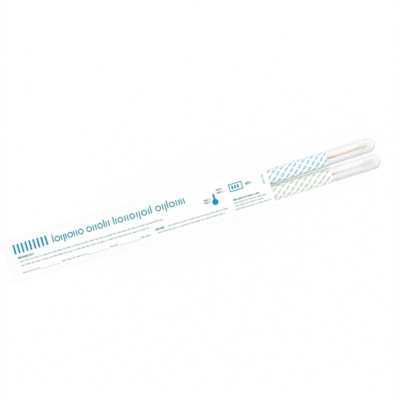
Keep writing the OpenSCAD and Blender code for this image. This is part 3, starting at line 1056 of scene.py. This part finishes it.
# %% Loose fibres
FULL_TURN = 6.283
tree, at = new_tree("loose fibres", {
    "Density": 2.6e6, "Length": 1.8 * MM, "Thickness": 0.014 * MM, "Seed": 11, "Fibre": fibre_finish,
})
scatter = tree.add(
    "GeometryNodeDistributePointsOnFaces", None,
    {"Mesh": at["Mesh"], "Density": at["Density"], "Seed": at["Seed"]},
)
turn = Wire(tree, scatter.socket.node.outputs["Rotation"])
hair = tree.add(
    "GeometryNodeCurveQuadraticBezier", None,
    {"Resolution": 5, "Start": (0, 0, 0), "Middle": (0.45, 0.15, 0.1), "End": (1.0, 0.0, 0.0)},
)
section = tree.add(
    "GeometryNodeCurvePrimitiveCircle", None, {"Resolution": 3, "Radius": at["Thickness"] / at["Length"]}
)
hair_mesh = tree.add("GeometryNodeCurveToMesh", None, [hair, section])
spin = tree.add(
    "FunctionNodeRandomValue", {"data_type": "FLOAT_VECTOR"},
    {0: (-0.25, -0.35, 0.0), 1: (0.25, 0.05, FULL_TURN), "Seed": at["Seed"]},
)
laid_turn = tree.add("FunctionNodeRotateRotation", {"rotation_space": "LOCAL"}, [turn, spin])
SHORTEST = 0.5
grow = tree.add(
    "FunctionNodeRandomValue", {"data_type": "FLOAT"}, {2: SHORTEST, 3: 1.0, "Seed": at["Seed"]}, out=1
)
hairs = tree.add(
    "GeometryNodeInstanceOnPoints", None,
    {"Points": scatter, "Instance": hair_mesh, "Rotation": laid_turn, "Scale": at["Length"] * grow},
)
end_tree(tree, hairs, at["Fibre"])
print("fibre tree:", len(tree.tree.nodes), "nodes")


# %% Wound buds
BLOB_SHARES = (0.5, 0.75, 1.0)
BLOB_INSET = 0.15
BLUNTNESS = 0.6


def bud_blobs(axis, start, end, radius):
    """Blobs one inside the other, blunt at the stick and round at the nose."""
    points, faces, count = [], [], 0
    turn = np.linspace(0, np.pi, 25)
    along = start + (end - start) * (1 - np.cos(turn)) / 2
    for share in BLOB_SHARES:
        outline = list(zip(along, share * radius * np.sin(turn) ** BLUNTNESS))
        blob_points, blob_faces = turned(axis, outline, 48)
        points.append(blob_points)
        faces += [tuple(count + corner for corner in face) for face in blob_faces]
        count += len(blob_points)
    return np.concatenate(points), faces


for axis, node in ((BLUE, "rayon_bud"), (GREEN, "cotton_bud")):
    low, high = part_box(node)
    radius = (high.z - low.z) / MM / 2
    blobs = bud_blobs(axis, *axis.span(node, 0.0), radius - BLOB_INSET)
    bud = new_piece(node + "_hairs", *blobs, fibre_finish)
    bud.data = run_tree(tree, bud.data, {"Fibre": fibre_finish})
    finish_piece(bud, "swab_fibre", node)

# %% [markdown]
# ## The table
# The background is white without any extra light on the pack: rays that see the table or the sky directly,
# in a shine or through a wall find plain white, and rays that carry light find ordinary surfaces. The table
# mixes both, so the pack's own shadow stays.


# %% Table and sky
def seen_directly(graph):
    """1 for rays from the camera, from a shine or through a clear wall, else 0."""
    path = graph.add("ShaderNodeLightPath", out="Is Camera Ray")
    outputs = path.socket.node.outputs
    shine, through = Wire(graph, outputs["Is Glossy Ray"]), Wire(graph, outputs["Is Transmission Ray"])
    return path.math("MAXIMUM", shine).math("MAXIMUM", through)


SEEN_SHARE = 0.94
table_finish, graph = new_finish("table")
white_cloth = graph.add("ShaderNodeBsdfDiffuse", None, {"Color": (0.93, 0.93, 0.93, 1.0)})
glow = graph.add("ShaderNodeEmission", None, {"Color": (1.0, 1.0, 1.0, 1.0), "Strength": 1.0})
mixed = graph.add("ShaderNodeMixShader", None, [seen_directly(graph) * SEEN_SHARE, white_cloth, glow])
graph.add("ShaderNodeOutputMaterial", None, {"Surface": mixed})
TABLE, TABLE_DROP = 2000.0, 0.05
table_corners = [(x * TABLE, y * TABLE, -TABLE_DROP) for x, y in ((-1, -1), (1, -1), (1, 1), (-1, 1))]
table = new_piece("table", table_corners, [(0, 1, 2, 3)], table_finish)
table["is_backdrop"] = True
print("table side:", 2 * TABLE, "mm")

SKY_LIGHT = 0.95
world = bpy.data.worlds.new("sky")
world.use_nodes = True
bpy.context.scene.world = world
graph = Graph(world.node_tree)
strength = SKY_LIGHT + seen_directly(graph) * (1 - SKY_LIGHT)
sky = graph.add("ShaderNodeBackground", None, {"Color": (1.0, 1.0, 1.0, 1.0), "Strength": strength})
graph.add("ShaderNodeOutputWorld", None, {"Surface": sky})

# %% [markdown]
# Nearly all the light comes from the even sky. One large, faint and soft lamp on the far side adds a
# little. Sky and lamp together light a level surface to about 1, at which a colour comes out as it is
# written.


# %% Lamp
def soft_lamp(name, turn, height, distance, level, side):
    """A square lamp that lights the pack's middle to a share of the plain level."""
    turn, height = math.radians(turn) + VIEW_TURN, math.radians(height)
    reach = math.cos(height)
    direction = Vector((math.cos(turn) * reach, math.sin(turn) * reach, math.sin(height)))
    data = bpy.data.lights.new(name, "AREA")
    data.shape = "SQUARE"
    data.size = side
    data.energy = level * math.pi ** 2 * distance ** 2 / math.sin(height)
    lamp = bpy.data.objects.new(name, data)
    lamp.location = direction * distance
    lamp.rotation_euler = direction.to_track_quat("Z", "Y").to_euler()
    bpy.context.scene.collection.objects.link(lamp)
    print(name, "power", round(data.energy, 2), "W")


soft_lamp("far_lamp", turn=90, height=60, distance=1.3, level=0.07, side=0.9)

# %% [markdown]
# ## Hand over
# The view transform is the plain one, so colours come out as they are lit. The boxes of the frame and of
# the dressed pack are written down, so that they can be compared.

# %% View and sizes
bpy.context.scene.view_settings.view_transform = "Standard"
bpy.context.view_layer.update()
low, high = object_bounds()
print("frame  mm:", [round(side / MM, 2) for side in cad_high - cad_low])
print("visual mm:", [round(side / MM, 2) for side in high - low])
